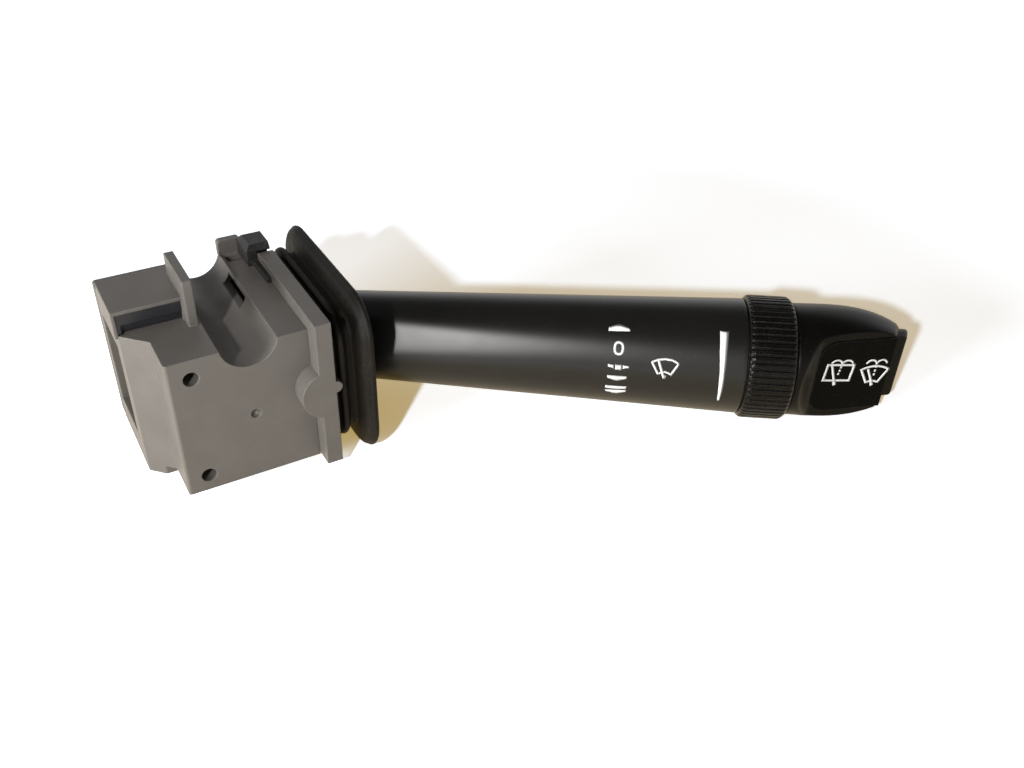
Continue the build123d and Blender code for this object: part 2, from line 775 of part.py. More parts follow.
def icon_panel():
    outside = head_loft(0.0, head_start, head_end + 4) - beyond_end()
    return on_lever(panel_slab(panel_gap, -panel_thickness, 0) & outside)


def end_button():
    base = head_end - button_skirt
    body = button_core(0, base, head_end + 12) - beyond_end(button_proud)
    body = fillet(body.faces().sort_by(Axis.Z)[-1].edges(), 0.8)
    stem = Pos(0, -1.6, base - 0.6) * Box(button_stem_height, button_stem_depth, 1.4)
    return on_lever(body + stem)


def button_mat():
    """Silicone mat with a dome under the button."""
    low = head_board_place() + board_room
    mat = Pos(0, -1.6, low + 0.4) * Box(12.0, 7.0, 0.8)
    mat += Pos(0, -1.6, low + 0.8 + dome_height / 2) * Cone(2.4, 1.6, dome_height)
    return on_lever(mat)


def head_board():
    return on_lever(Pos(0, -1.6, head_board_place() + board_room / 2) * Box(13.6, 8.4, board_room))


# ---------------------------------------------------------------- seal


def column_seal():
    """Rubber grommet for the column cover: two rounded lips with a groove between them."""
    x = frame_front + 0.05
    centre = (seal_centre_y, seal_centre_z)
    inner_x = x + seal_sleeve
    neck_x = inner_x + seal_inner_thickness
    outer_x = neck_x + seal_groove
    end_x = outer_x + seal_outer_thickness
    neck = rounded_slab(seal_inner_height - 3.0, seal_inner_width - 3.0, seal_corner - 2.0,
                        (x, outer_x + 0.5), *centre)
    inner = rounded_slab(seal_inner_height, seal_inner_width, seal_corner - 1.0, (inner_x, neck_x), *centre)
    outer = rounded_slab(seal_height, seal_width, seal_corner, (outer_x, end_x), *centre)
    back = outer.faces().sort_by(Axis.X)[0].edges()
    outer = chamfer(back, seal_flank, seal_groove_depth)
    outer = fillet(outer.faces().sort_by(Axis.X)[-1].edges(), seal_bevel)
    body = neck + inner + outer
    opening = block((x - 1, end_x + 1), seal_opening_y, seal_opening_z)
    opening = fillet(opening.edges().filter_by(Axis.X), seal_opening_corner)
    return body - opening


# ---------------------------------------------------------------- the whole switch


def nodes():
    return {
        "switch_housing": switch_housing(),
        "back_cover": back_cover(),
        "cover_latch": cover_latch(),
        "upper_carrier": upper_carrier(),
        "connector_insert": connector_insert(),
        "terminal_pins": terminal_pins(),
        "front_frame": front_frame(),
        "carrier_pins": carrier_pins(),
        "lever_carrier": lever_carrier(),
        "lever_pin": lever_pin(),
        "contact_board": contact_board(),
        "contact_tracks": contact_tracks(),
        "contact_slider": contact_slider(),
        "slider_wipers": slider_wipers(),
        "slider_guide": slider_guide(),
        "detent_ramp": detent_ramp(),
        "detent_plunger": detent_plunger(),
        "plunger_spring": plunger_spring(),
        "wash_contacts": wash_contacts(),
        "lever_core": lever_core(),
        "lever_conductors": lever_conductors(),
        "stalk_tube": stalk_tube(),
        "ring_sleeve": ring_sleeve(),
        "thumb_ring": thumb_ring(),
        "ring_contact_disc": ring_contact_disc(),
        "ring_wiper": ring_wiper(),
        "ring_washer": ring_washer(),
        "head_shell": head_shell(),
        "icon_panel": icon_panel(),
        "end_button": end_button(),
        "button_mat": button_mat(),
        "head_board": head_board(),
        "column_seal": column_seal(),
    }


def rest_lean():
    """Tilt at which the switch stands on its lower front edge and the thumb ring, in degrees."""
    rim = ring_start + ring_width - ring_bevel
    run = pivot_x + rim * math.cos(math.radians(lever_lean)) - face_length
    rise = pivot_y - ring_diameter / 2 + skirt_drop
    return math.degrees(math.atan2(rise, run))


def standing(solids):
    """Place of the housing axes in the part's frame.

    +X runs forwards along the housing, +Z up from the table, and the origin lies on the table
    under the middle of the whole switch.
    """
    lean = math.radians(rest_lean())
    turned = Plane(origin=(0, 0, 0), x_dir=(math.cos(lean), math.sin(lean), 0),
                   z_dir=(-math.sin(lean), math.cos(lean), 0)).location.inverse()
    box = (turned * Compound(children=list(solids))).bounding_box()
    return Pos(-box.center().X, -box.center().Y, -box.min.Z) * turned


def main():
    os.makedirs("parts", exist_ok=True)
    switch = nodes()
    place = standing([copy.copy(solid) for solid in switch.values()])
    for name, solid in switch.items():
        export_step(place * solid, f"parts/{name}.step")
        print(name, "written")


if __name__ == "__main__":
    main()
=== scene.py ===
# Combination stalk switch: lever skins, column seal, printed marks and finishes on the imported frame.
import math
import bpy
import numpy as np
from mathutils import Matrix, Vector


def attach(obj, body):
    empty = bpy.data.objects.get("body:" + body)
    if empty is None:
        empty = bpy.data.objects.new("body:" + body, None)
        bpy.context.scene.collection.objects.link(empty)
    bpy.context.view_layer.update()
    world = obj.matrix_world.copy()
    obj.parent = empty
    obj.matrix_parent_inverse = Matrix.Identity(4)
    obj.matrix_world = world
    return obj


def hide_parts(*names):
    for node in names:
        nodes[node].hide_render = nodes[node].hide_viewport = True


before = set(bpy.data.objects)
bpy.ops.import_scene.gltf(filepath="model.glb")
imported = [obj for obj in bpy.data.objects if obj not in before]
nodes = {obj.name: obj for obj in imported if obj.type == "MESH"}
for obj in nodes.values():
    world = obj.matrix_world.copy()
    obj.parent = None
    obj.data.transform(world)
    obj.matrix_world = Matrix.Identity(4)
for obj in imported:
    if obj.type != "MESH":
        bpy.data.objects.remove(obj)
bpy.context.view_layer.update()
print("frame loaded,", len(nodes), "nodes")

# The housing stands a little tipped in the frame: turn about the depth axis in degrees, then shift in mm.
stand = {"lean": 4.301984, "shift": (-74.983558, 7.332718, 4.426349)}
# The lever starts where its two hinge lines cross and leans from straight ahead to the driver.
leverLine = {"start": (31.3, 19.1, -24.3), "lean": 33.7}


def fromHousing(points):
    # x ahead, y up, z to the driver in mm, turned by the lean and shifted, in metres
    p = np.asarray(points, float)
    c, s = math.cos(math.radians(stand["lean"])), math.sin(math.radians(stand["lean"]))
    turned = np.stack([c * p[..., 0] + s * p[..., 1], -p[..., 2], -s * p[..., 0] + c * p[..., 1]], -1)
    return (turned + np.array(stand["shift"])) / 1000


def fromLever(up, out, along):
    # start + along the lever + up + out to the driver, where the lever line and 'out' are turned by the lean
    c, s = math.cos(math.radians(leverLine["lean"])), math.sin(math.radians(leverLine["lean"]))
    up, out, along = np.broadcast_arrays(up, out, along)
    x0, y0, z0 = leverLine["start"]
    return fromHousing(np.stack([x0 + c * along - s * out, y0 + up, z0 + s * along + c * out], -1))


def leverRing(angle, radius, along):
    # radius * sin up and radius * cos out, the angle from the driver's side towards up
    return fromLever(radius * np.sin(angle), radius * np.cos(angle), along)


def gridFaces(rows, cols, closeRows, closeCols):
    # each face joins a grid point to the next row and the next column, and wraps where the grid is closed
    u = np.arange(rows if closeRows else rows - 1)
    v = np.arange(cols if closeCols else cols - 1)
    uu, vv = np.meshgrid(u, v, indexing="ij")
    un, vn = (uu + 1) % rows, (vv + 1) % cols
    corners = [uu * cols + vv, un * cols + vv, un * cols + vn, uu * cols + vn]
    return np.stack(corners, -1).reshape(-1, 4)


def signedVolume(points, faces):
    # a sixth of the sum of corner products: above zero where the faces point outwards
    a, b, c, d = (points[faces[:, i]] for i in range(4))
    return (np.einsum("ij,ij->i", a, np.cross(b, c)) + np.einsum("ij,ij->i", a, np.cross(c, d))).sum() / 6


def addToScene(name, data):
    # an object for the data, in the scene's own collection
    thing = bpy.data.objects.new(name, data)
    bpy.context.scene.collection.objects.link(thing)
    return thing


def makePiece(name, grids, body, finish, sharpAngle, outward=None):
    # grids: (points, closeRows, closeCols); every grid goes into one mesh, faces turned outwards,
    # a closed grid's by its volume and an open one's by the way that 'outward' gives at its middle
    allPoints, allFaces, first = [], [], 0
    for points, closeRows, closeCols in grids:
        rows, cols = points.shape[:2]
        flat = points.reshape(-1, 3)
        faces = gridFaces(rows, cols, closeRows, closeCols)
        if closeRows and closeCols:
            outwards = signedVolume(flat - flat.mean(0), faces)
        else:
            a, b, d = flat[faces[:, 0]], flat[faces[:, 1]], flat[faces[:, 3]]
            outwards = np.cross(b - a, d - a).sum(0) @ outward(flat.mean(0))
        if outwards < 0:
            faces = faces[:, ::-1]
        allPoints.append(flat)
        allFaces.append(faces + first)
        first += len(flat)
    mesh = bpy.data.meshes.new(name)
    mesh.from_pydata(np.concatenate(allPoints).tolist(), [], np.concatenate(allFaces).tolist())
    mesh.update()
    mesh.shade_smooth()
    mesh.set_sharp_from_angle(angle=math.radians(sharpAngle))
    piece = addToScene(name, mesh)
    mesh.materials.append(finish)
    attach(piece, body)
    return piece


def addNode(tree, kind, **values):
    # a shader node with its plain properties and its numbered or named inputs set
    node = tree.nodes.new(kind)
    for key, value in values.items():
        if key == "inputs":
            for socket, number in value.items():
                node.inputs[socket].default_value = number
        else:
            setattr(node, key, value)
    return node


def addNoise(tree, coords, sizeMm, detail=3.0, roughness=0.55):
    # noise whose blobs are about sizeMm across
    noise = addNode(tree, "ShaderNodeTexNoise",
                    inputs={"Scale": 1000.0 / sizeMm, "Detail": detail, "Roughness": roughness})
    tree.links.new(coords, noise.inputs["Vector"])
    return noise.outputs["Fac"]


def addRange(tree, value, low, high, outLow, outHigh):
    # a straight line from low..high to outLow..outHigh, held at both ends
    node = addNode(tree, "ShaderNodeMapRange", inputs={1: low, 2: high, 3: outLow, 4: outHigh})
    tree.links.new(value, node.inputs[0])
    return node.outputs[0]


def addMath(tree, operation, first, second):
    # one operation on two values, each a number or a socket
    node = addNode(tree, "ShaderNodeMath", operation=operation)
    for i, value in enumerate((first, second)):
        if isinstance(value, (int, float)):
            node.inputs[i].default_value = value
        else:
            tree.links.new(value, node.inputs[i])
    return node.outputs[0]


def addMix(tree, factor, first, second):
    # colour between two colours by a factor
    node = addNode(tree, "ShaderNodeMix", data_type="RGBA")
    for socket, value in ((node.inputs[0], factor), (node.inputs[6], first), (node.inputs[7], second)):
        if isinstance(value, (int, float)):
            socket.default_value = value
        elif isinstance(value, tuple):
            socket.default_value = (*value, 1.0)
        else:
            tree.links.new(value, socket)
    return node.outputs[2]


# What every finish shares: noise spans, edges painted paler (partly wear, partly a painted highlight) and
# dust.
finishShared = {"blobSpan": (0.3, 0.7), "bevelSamples": 6, "edgeSpan": (0.998, 0.93), "wearAndSheenPatchMm": 1.4,
        "wearAndSheenPatchSpan": (0.35, 0.65), "wearAndSheenPatchLeast": 0.3, "wearAndSheenGainShare": 2.2, "wearAndSheenGreyShare": 0.05,
        "speckSpan": (0.56, 0.68), "patchSpan": (0.4, 0.65), "patchLeast": 0.15, "patchShare": 14,
        "dustRough": 0.3, "bumpStrength": 0.6}


def makeFinish(name, colour, rough, mottle=0.08, mottleMm=6.0, grainMm=0.35, grainDepth=0.012,
               roughSpread=0.06, edgeMm=0.25, edgeWearAndSheen=0.25, dust=0.0, dustColour=(0.3, 0.27, 0.22),
               dustMm=0.5, metal=0.0, specular=0.5, streak=None):
    # Moulded finish: the colour varies in soft blobs, edges are painted paler, partly as wear and partly as a
    # painted highlight,
    #  dust settles in specks, and a fine grain bumps the surface.
    material = bpy.data.materials.new(name)
    material.use_nodes = True
    tree = material.node_tree
    tree.nodes.clear()
    output = tree.nodes.new("ShaderNodeOutputMaterial")
    shader = addNode(tree, "ShaderNodeBsdfPrincipled",
                     inputs={"Metallic": metal, "Specular IOR Level": specular})
    tree.links.new(shader.outputs[0], output.inputs[0])
    coords = tree.nodes.new("ShaderNodeTexCoord").outputs["Object"]
    if streak:  # drawn or ground lines: the pattern is stretched along one way
        stretch = addNode(tree, "ShaderNodeMapping", inputs={"Scale": streak})
        tree.links.new(coords, stretch.inputs["Vector"])
        coords = stretch.outputs["Vector"]

    blobs = addRange(tree, addNoise(tree, coords, mottleMm), *finishShared["blobSpan"], 0.0, 1.0)
    darker = tuple(c * (1 - mottle) for c in colour)
    paler = tuple(min(c * (1 + mottle), 1.0) for c in colour)
    shade = addMix(tree, blobs, darker, paler)

    # an edge is where the rounded normal turns away from the true one
    rounded = addNode(tree, "ShaderNodeBevel", samples=finishShared["bevelSamples"],
                      inputs={"Radius": edgeMm / 1000})
    geometry = tree.nodes.new("ShaderNodeNewGeometry")
    facing = addNode(tree, "ShaderNodeVectorMath", operation="DOT_PRODUCT")
    tree.links.new(rounded.outputs[0], facing.inputs[0])
    tree.links.new(geometry.outputs["Normal"], facing.inputs[1])
    edge = addRange(tree, facing.outputs["Value"], *finishShared["edgeSpan"], 0.0, 1.0)
    # the edges are painted paler in patches: partly wear, partly a painted highlight
    wearAndSheenPatches = addRange(tree, addNoise(tree, coords, finishShared["wearAndSheenPatchMm"]), *finishShared["wearAndSheenPatchSpan"], finishShared["wearAndSheenPatchLeast"], 1.0)
    wearAndSheen = addMath(tree, "MULTIPLY", addMath(tree, "MULTIPLY", edge, wearAndSheenPatches), min(1.0, edgeWearAndSheen * 2))
    wearAndSheenGain, wearAndSheenLift = 1 + finishShared["wearAndSheenGainShare"] * edgeWearAndSheen, finishShared["wearAndSheenGreyShare"] * edgeWearAndSheen
    wearAndSheenColour = tuple(min(c * wearAndSheenGain + wearAndSheenLift, 1.0) for c in colour)
    shade = addMix(tree, wearAndSheen, shade, wearAndSheenColour)

    roughness = addRange(tree, addNoise(tree, coords, mottleMm / 2), *finishShared["blobSpan"],
                         rough - roughSpread, rough + roughSpread)
    if dust > 0:
        specks = addRange(tree, addNoise(tree, coords, dustMm, 4.0, 0.7), *finishShared["speckSpan"], 0.0, 1.0)
        patches = addRange(tree, addNoise(tree, coords, dustMm * finishShared["patchShare"]), *finishShared["patchSpan"],
                           finishShared["patchLeast"], 1.0)
        lying = addMath(tree, "MULTIPLY", addMath(tree, "MULTIPLY", specks, patches), dust)
        shade = addMix(tree, lying, shade, dustColour)
        roughness = addMath(tree, "ADD", roughness, addMath(tree, "MULTIPLY", lying, finishShared["dustRough"]))
    tree.links.new(shade, shader.inputs["Base Color"])
    tree.links.new(roughness, shader.inputs["Roughness"])

    grain = addNode(tree, "ShaderNodeBump",
                    inputs={"Strength": finishShared["bumpStrength"], "Distance": grainDepth / 1000})
    tree.links.new(addNoise(tree, coords, grainMm, 2.0), grain.inputs["Height"])
    tree.links.new(rounded.outputs[0], grain.inputs["Normal"])
    tree.links.new(grain.outputs[0], shader.inputs["Normal"])
    return material


# each finish's edge setting says how much paler its edges are painted: partly wear, partly a painted
# highlight
grey = {"mottle": 0.07, "mottleMm": 7.0, "grainMm": 0.32, "grainDepth": 0.02, "edgeMm": 0.35,
        "edgeWearAndSheen": 0.3, "dust": 0.12, "dustColour": (0.3, 0.28, 0.25)}
satin = {"mottle": 0.12, "mottleMm": 9.0, "grainMm": 0.22, "grainDepth": 0.004, "roughSpread": 0.012,
         "edgeMm": 0.3, "edgeWearAndSheen": 0.6, "dust": 0.05, "dustMm": 0.35}
acetal = {"mottle": 0.04, "edgeWearAndSheen": 0.05}
finishes = {
    "housing_grey": makeFinish("housingGrey", (0.120, 0.110, 0.100), 0.46, **grey),
    "cover_grey": makeFinish("coverGrey", (0.117, 0.107, 0.098), 0.46, **grey),
    "frame_grey": makeFinish("frameGrey", (0.121, 0.111, 0.101), 0.44, **grey),
    "latch_black": makeFinish("latchBlack", (0.010, 0.010, 0.010), 0.5, dust=0.5, dustMm=0.6, edgeWearAndSheen=0.5),
    "carrier_black": makeFinish("carrierBlack", (0.012, 0.013, 0.017), 0.42, dust=0.15, edgeWearAndSheen=0.4),
    "insulator_black": makeFinish("insulatorBlack", (0.022, 0.022, 0.022), 0.45, edgeWearAndSheen=0.4),
    "terminal_brass": makeFinish("terminalBrass", (0.72, 0.58, 0.32), 0.28, metal=1.0, grainMm=0.08,
                                 grainDepth=0.004, streak=(1.0, 6.0, 6.0), edgeWearAndSheen=0.05),
    "pin_steel": makeFinish("pinSteel", (0.62, 0.62, 0.63), 0.3, metal=1.0, grainMm=0.06, grainDepth=0.004,
                            streak=(1.0, 8.0, 1.0), edgeWearAndSheen=0.05),
    "yoke_acetal": makeFinish("yokeAcetal", (0.62, 0.61, 0.57), 0.42, **acetal),
    "board": makeFinish("boardLaminate", (0.33, 0.25, 0.13), 0.4, mottle=0.16, mottleMm=1.1, edgeWearAndSheen=0.1,
                        streak=(1.0, 3.0, 1.0)),
    "slider_acetal": makeFinish("sliderAcetal", (0.7, 0.69, 0.65), 0.42, **acetal),
    "ramp_acetal": makeFinish("rampAcetal", (0.7, 0.69, 0.65), 0.40, **acetal),
    "core_black": makeFinish("coreBlack", (0.020, 0.020, 0.020), 0.5, edgeWearAndSheen=0.4),
    "lever_black": makeFinish("leverBlack", (0.0052, 0.0047, 0.0040), 0.35, specular=0.40, **satin),
    "headBlack": makeFinish("headBlack", (0.0024, 0.0021, 0.0016), 0.34, specular=0.11, **satin),
    "ring_black": makeFinish("ringBlack", (0.0024, 0.0020, 0.0016), 0.25, specular=0.15, mottleMm=4.0,
                             grainMm=0.5, grainDepth=0.002, edgeMm=0.15, edgeWearAndSheen=0.8, dust=0.12, dustMm=0.3),
    "panel_black": makeFinish("panelBlack", (0.0008, 0.0008, 0.0009), 0.16, specular=0.05, mottleMm=4.0,
                              grainMm=1.2, grainDepth=0.0015, roughSpread=0.03, edgeMm=0.2, edgeWearAndSheen=0.6,
                              dust=0.05, dustMm=0.25),
    "button_black": makeFinish("buttonBlack", (0.0016, 0.0015, 0.0014), 0.40, specular=0.12, grainMm=0.25,
                               edgeMm=0.3, edgeWearAndSheen=0.6, dust=0.12, dustMm=0.3),
    "sleeve_acetal": makeFinish("sleeveAcetal", (0.03, 0.03, 0.03), 0.45, edgeWearAndSheen=0.2),
    "mat_silicone": makeFinish("matSilicone", (0.5, 0.5, 0.48), 0.6, mottle=0.05, edgeWearAndSheen=0.0),
    "seal_rubber": makeFinish("sealRubber", (0.0070, 0.0058, 0.0045), 0.55, specular=0.15, mottle=0.3,
                              mottleMm=4.0, grainMm=0.5, grainDepth=0.03, edgeMm=0.3, edgeWearAndSheen=0.3, dust=0.25,
                              dustColour=(0.085, 0.068, 0.050), dustMm=0.6),
    "wear_washer": makeFinish("wearWasher", (0.06, 0.06, 0.06), 0.5, edgeWearAndSheen=0.1),
}
printWhite = makeFinish("printWhite", (0.86, 0.86, 0.85), 0.45, mottle=0.02, mottleMm=1.5, grainMm=0.2,
                        grainDepth=0.004, edgeWearAndSheen=0.0, dust=0.06, dustColour=(0.55, 0.53, 0.5), dustMm=0.2)

nodeSlots = {
    "switch_housing": "housing_grey", "back_cover": "cover_grey", "front_frame": "frame_grey",
    "cover_latch": "latch_black", "upper_carrier": "carrier_black", "connector_insert": "insulator_black",
    "terminal_pins": "terminal_brass", "carrier_pins": "pin_steel", "lever_carrier": "yoke_acetal",
    "lever_pin": "pin_steel", "contact_board": "board", "contact_tracks": "terminal_brass",
    "contact_slider": "slider_acetal", "slider_wipers": "terminal_brass", "slider_guide": "insulator_black",
    "detent_ramp": "ramp_acetal", "detent_plunger": "pin_steel", "plunger_spring": "pin_steel",
    "wash_contacts": "terminal_brass", "lever_core": "core_black", "lever_conductors": "terminal_brass",
    "stalk_tube": "lever_black", "ring_sleeve": "sleeve_acetal", "thumb_ring": "ring_black",
    "ring_contact_disc": "insulator_black", "ring_wiper": "terminal_brass", "ring_washer": "wear_washer",
    "head_shell": "headBlack", "icon_panel": "panel_black", "end_button": "button_black",
    "button_mat": "mat_silicone", "head_board": "board", "column_seal": "seal_rubber",
}
for nodeName, slotName in nodeSlots.items():
    for materialSlot in nodes[nodeName].material_slots:
        materialSlot.link = "OBJECT"
        materialSlot.material = finishes[slotName]
print("finishes made:", len(finishes) + 1)

# The stalk tube's skin: a cone with one long thumb flat that runs out to the round.
tube = {"start": 12.6, "end": 105.3, "rootDiameter": 19.7, "endDiameter": 26.2, "wall": 2.0,
        "boreRadius": 10.53, "bulkhead": 2.0, "flatTurn": 29.5, "flatDistance": 8.76, "flatRise": 3.2,
        "flatDeepest": 0.4, "rootFace": 37.8, "crease": 34.0, "edgeRound": 0.35, "edgeTurns": (8, 35, 62),
        "rimDepth": 0.25, "rimRound": 0.07, "boreRim": 0.6, "innerRim": 0.3, "leastCosine": 0.05,
        "rootGuess": 10.0, "rootRounds": 14, "columns": 224, "rows": 132, "innerRows": 24, "sharp": 32}


def tubeRadius(along):
    # half the diameter, on a straight line from root to end
    t = (along - tube["start"]) / (tube["end"] - tube["start"])
    return (tube["rootDiameter"] + (tube["endDiameter"] - tube["rootDiameter"]) * t) / 2


def tubeReach(angle, along, inset=0.0):
    # cone radius r and flat distance d / cos(angle from the flat), joined by (r^-p + d^-p)^(-1/p)
    r = tubeRadius(along) - inset
    rise = math.tan(math.radians(tube["flatRise"])) * (along - tube["start"])
    away = np.cos(angle - math.radians(tube["flatTurn"]))
    distance = tube["flatDistance"] + rise - min(inset, tube["flatDeepest"])
    flat = distance / np.maximum(away, tube["leastCosine"])
    p = tube["crease"]
    return (r ** -p + flat ** -p) ** (-1 / p)


def tubePoint(angle, along, lift=0.0, inset=0.0):
    # a ring of the tube's section, lifted off it or drawn in
    return leverRing(angle, tubeReach(angle, along, inset) + lift, along)


def tubeRoot(angle, inset):
    # where the tube's line at this angle meets the square root face, found by repeating
    c, s = math.cos(math.radians(leverLine["lean"])), math.sin(math.radians(leverLine["lean"]))
    along = np.full_like(angle, tube["rootGuess"])
    for _ in range(tube["rootRounds"]):
        out = tubeReach(angle, along, inset) * np.cos(angle)
        along = (tube["rootFace"] - leverLine["start"][0] + s * out) / c
    return along


def makeTube():
    # rings in turn: rounded root edge, outer skin, end face, bore, and back along the inside
    angle = np.linspace(0, 2 * np.pi, tube["columns"], endpoint=False)
    rootOut, rootIn = tubeRoot(angle, 0.0), tubeRoot(angle, tube["wall"])
    edge, end, bore, rim = tube["edgeRound"], tube["end"], tube["boreRadius"], tube["rimDepth"]
    innerEnd = end - tube["bulkhead"]
    rows = []
    for turn in np.radians(tube["edgeTurns"]):
        rows.append(tubePoint(angle, rootOut + edge * (1 - np.cos(turn)), -edge * (1 - np.sin(turn))))
    for t in np.linspace(0, 1, tube["rows"]):
        rows.append(tubePoint(angle, rootOut + edge + (end - rim - rootOut - edge) * t))
    rows.append(tubePoint(angle, end - tube["rimRound"], -tube["rimRound"]))
    rows.append(tubePoint(angle, end, -rim))
    for radius, along in ((bore + tube["boreRim"], end), (bore, end), (bore, innerEnd),
                          (bore + tube["innerRim"], innerEnd)):
        rows.append(leverRing(angle, radius, along))
    for t in np.linspace(1, 0, tube["innerRows"]):
        rows.append(tubePoint(angle, rootIn + (innerEnd - rootIn) * t, 0.0, tube["wall"]))
    grid = (np.array(rows), True, True)
    return makePiece("stalkTubeSkin", [grid], "lever", finishes["lever_black"], tube["sharp"])


tubeSkin = makeTube()
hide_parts("stalk_tube")
print("stalk tube made")

# The thumb ring: a turned profile whose outer band is cut by ribs.
ring = {"start": 105.5, "width": 10.4, "diameter": 28.0, "bevel": 1.3, "bevelDepth": 0.7, "bevelCurve": 1.15,
        "bevelRows": 7, "bandRows": 11, "ribs": 58, "ribDepth": 0.32, "ribShare": 0.40, "ribEdge": 0.14,
        "plainRim": 0.35, "ribFade": 0.5, "bore": 10.54, "boreEdge": 0.15, "cavityRadius": 12.6,
        "cavityDepth": 2.8, "cavityEdge": 0.1, "samples": 12, "sharp": 40}


def bevelRadius(t):
    # from the rim in to the full radius along a quarter of a sine
    drop = (1 - np.sin(t * np.pi / 2)) ** ring["bevelCurve"]
    return ring["diameter"] / 2 - ring["bevel"] * ring["bevelDepth"] * drop


def makeRing():
    # radius = profile radius - groove depth * smooth step across each rib * fade at both rims
    angle = np.linspace(0, 2 * np.pi, ring["ribs"] * ring["samples"], endpoint=False)
    low, high = ring["start"], ring["start"] + ring["width"]
    bevel = ring["bevel"]
    phase = (angle * ring["ribs"] / (2 * np.pi)) % 1.0
    fromMiddle = np.abs(phase - 0.5)
    groove = np.clip((ring["ribShare"] / 2 + ring["ribEdge"] / 2 - fromMiddle) / ring["ribEdge"], 0, 1)
    groove = groove * groove * (3 - 2 * groove)
    bevelSteps = np.linspace(0, 1, ring["bevelRows"])
    bandSteps = np.linspace(0, 1, ring["bandRows"])[1:-1]
    band = [(bevelRadius(t), low + bevel * t) for t in bevelSteps]  # (radius, along)
    band += [(ring["diameter"] / 2, low + bevel + (ring["width"] - 2 * bevel) * t) for t in bandSteps]
    band += [(bevelRadius(t), high - bevel * t) for t in bevelSteps[::-1]]
    bore, cavity, floor = ring["bore"], ring["cavityRadius"], low + ring["cavityDepth"]
    inside = [(bore + ring["boreEdge"], high), (bore, high - ring["boreEdge"]), (bore, floor),
              (cavity, floor), (cavity, low + ring["cavityEdge"]), (cavity + ring["cavityEdge"], low)]
    rows = []
    for radius, along in band:
        nearRim = np.clip((min(along - low, high - along) - ring["plainRim"]) / ring["ribFade"], 0, 1)
        rows.append(leverRing(angle, radius - ring["ribDepth"] * nearRim * groove, along))
    for radius, along in inside:
        rows.append(leverRing(angle, radius, along))
    grid = (np.array(rows), True, True)
    return makePiece("thumbRingRibbed", [grid], "ring", finishes["ring_black"], ring["sharp"])


ringSkin = makeRing()
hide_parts("thumb_ring")
print("thumb ring made")

# The column seal: a profile of rounded lips carried round rounded rectangles.
# Outlines are (height, width, corner); front and mouth are (distance from the front face, outline's growth).
seal = {"start": 33.15, "sleeve": 1.6, "innerLip": 1.8, "groove": 2.2, "outerLip": 3.0,
        "centre": (18.9, -17.4), "neck": (31.0, 38.0, 7.0), "inner": (34.0, 41.0, 8.0),
        "outer": (40.0, 48.6, 9.0), "opening": (25.7, 31.8, 4.5), "openingCentre": (18.05, -17.5),
        "leastCorner": 0.5, "edge": 0.2,
        "fillet": 0.4, "rootFillet": 0.3, "backRun": 1.15, "backRunCurve": 1.3, "backDrop": 2.6,
        "backDropCurve": 1.2, "backInset": 0.55, "rim": 0.75, "rimBack": 0.12, "rimUnder": 0.9,
        "front": ((-0.12, -1.3), (-0.02, -1.55), (-0.02, -1.95), (-0.22, -2.25), (-0.30, -3.2)),
        "mouth": ((-0.34, 0.7), (-0.42, 0.3), (-0.75, 0.06), (-1.2, 0.0)), "openingFrom": 1.8,
        "openingTo": 0.6, "lipRows": 11, "grooveSpan": (0.15, 0.85, 4), "backSpan": (0.25, 1.0, 5),
        "rimSpan": (-60, 90, 11), "openingRows": 8, "perSide": 34, "perCorner": 12, "sharp": 42}


def roundedPath(height, width, corner):
    # straight sides and quarter circles round a rectangle, the same number of points whatever its size
    y, z = height / 2 - corner, width / 2 - corner
    n, m = seal["perSide"], seal["perCorner"]
    side = (np.arange(n) + 0.5) / n * 2 - 1
    turn = (np.arange(m) + 0.5) / m * np.pi / 2
    parts = [np.stack([np.full(n, y + corner), side * z], -1),
             np.stack([y + corner * np.cos(turn), z + corner * np.sin(turn)], -1),
             np.stack([-side * y, np.full(n, z + corner)], -1),
             np.stack([-y - corner * np.sin(turn), z + corner * np.cos(turn)], -1),
             np.stack([np.full(n, -y - corner), -side * z], -1),
             np.stack([-y - corner * np.cos(turn), -z - corner * np.sin(turn)], -1),
             np.stack([side * y, np.full(n, -z - corner)], -1),
             np.stack([y + corner * np.sin(turn), -z - corner * np.cos(turn)], -1)]
    return np.concatenate(parts)


